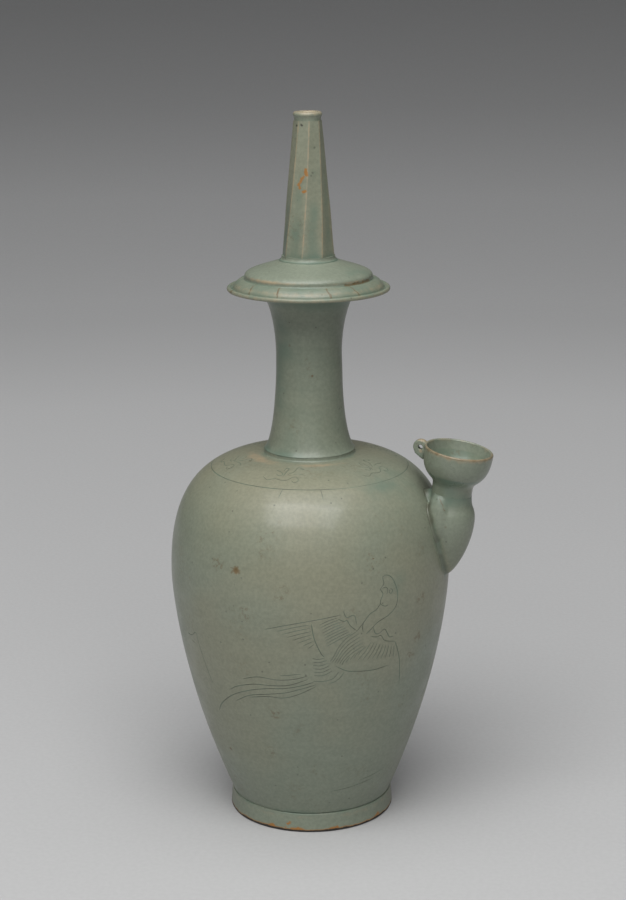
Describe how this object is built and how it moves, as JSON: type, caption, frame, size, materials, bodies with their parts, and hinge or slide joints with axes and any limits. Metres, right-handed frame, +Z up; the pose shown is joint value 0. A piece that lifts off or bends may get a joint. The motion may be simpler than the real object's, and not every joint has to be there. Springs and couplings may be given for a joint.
{
  "type": "celadon kundika",
  "caption": "Tall glazed stoneware water sprinkler with an ovoid body, waisted neck, flanged eight-sided pouring tube and a cupped filler spout on the shoulder.",
  "frame": {"origin": "centre of the foot ring's standing face", "axes": "+Z up along the axis of the vessel, +X towards the filler spout"},
  "size_m": [0.1656, 0.1426, 0.36],
  "materials": {
    "celadon": "soft grey-green glaze with a low gloss",
    "foot": "thin grey-green glaze, bare and rusty at the lower edge"
  },
  "bodies": {
    "root": {"foot_ring": "foot", "lower_body": "celadon", "upper_body": "celadon", "neck_collar": "celadon", "neck": "celadon", "flange": "celadon", "dome": "celadon", "tube_collar": "celadon", "tube": "celadon", "tube_lip": "celadon", "filler_bulb": "celadon", "filler_cup": "celadon", "cup_lug": "celadon"}
  },
  "joints": []
}
